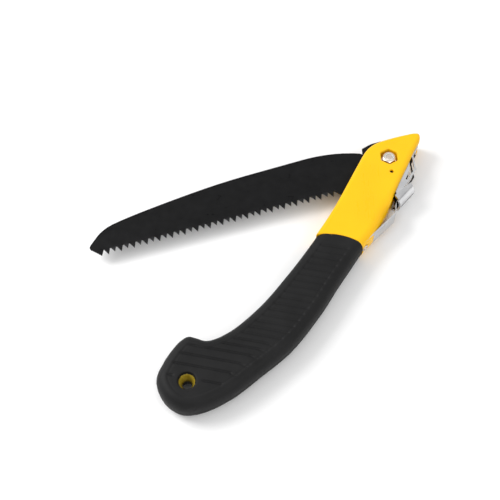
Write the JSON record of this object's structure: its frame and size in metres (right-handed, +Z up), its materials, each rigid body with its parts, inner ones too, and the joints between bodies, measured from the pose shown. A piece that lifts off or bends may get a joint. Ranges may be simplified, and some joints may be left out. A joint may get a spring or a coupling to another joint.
{
  "type": "folding pruning saw",
  "caption": "Folding hand saw with a straight black coated blade, a plastic handle in a ribbed rubber grip, and a sprung thumb lever that locks the blade.",
  "frame": {"origin": "middle of the saw's bounding box, on the table it lies on", "axes": "+X to the right along the half open saw, with the blade's tip at -X; +Y away from the user; +Z up from the table, along the pivot bolt"},
  "size_m": [0.2349, 0.2153, 0.02],
  "materials": {
    "yellow_plastic": "semi gloss moulded yellow",
    "black_rubber": "matt black overmoulded rubber",
    "coated_blade": "satin black low friction coating on steel",
    "zinc_steel": "bright zinc plate",
    "bright_steel": "polished chrome plate",
    "nylon": "natural nylon"
  },
  "bodies": {
    "handle": {"handle_core": "yellow_plastic", "grip_overmould": "black_rubber", "pivot_bolt": "zinc_steel", "pivot_nut": "zinc_steel", "nut_insert": "nylon", "bolt_washer": "zinc_steel", "nut_washer": "zinc_steel", "thrust_washer_upper": "nylon", "thrust_washer_lower": "nylon", "pivot_bushing": "zinc_steel", "lever_pin": "zinc_steel", "leaf_spring": "bright_steel", "spring_screw": "zinc_steel"},
    "blade": {"saw_blade": "coated_blade"},
    "lever": {"lock_lever": "bright_steel", "lock_bar": "bright_steel"}
  },
  "joints": [
    {"name": "blade_pivot", "type": "hinge", "parent": "handle", "child": "blade", "pos_m": [0.0931, 0.08522, 0.01], "axis": [0, 0, 1], "range_deg": [-117.9, 30.5]},
    {"name": "lever_pivot", "type": "hinge", "parent": "handle", "child": "lever", "pos_m": [0.0941, 0.07222, 0.01], "axis": [0, 0, 1], "range_deg": [-3, 9], "stiffness_Nm_per_rad": 0.4, "deforming": ["leaf_spring"]}
  ]
}
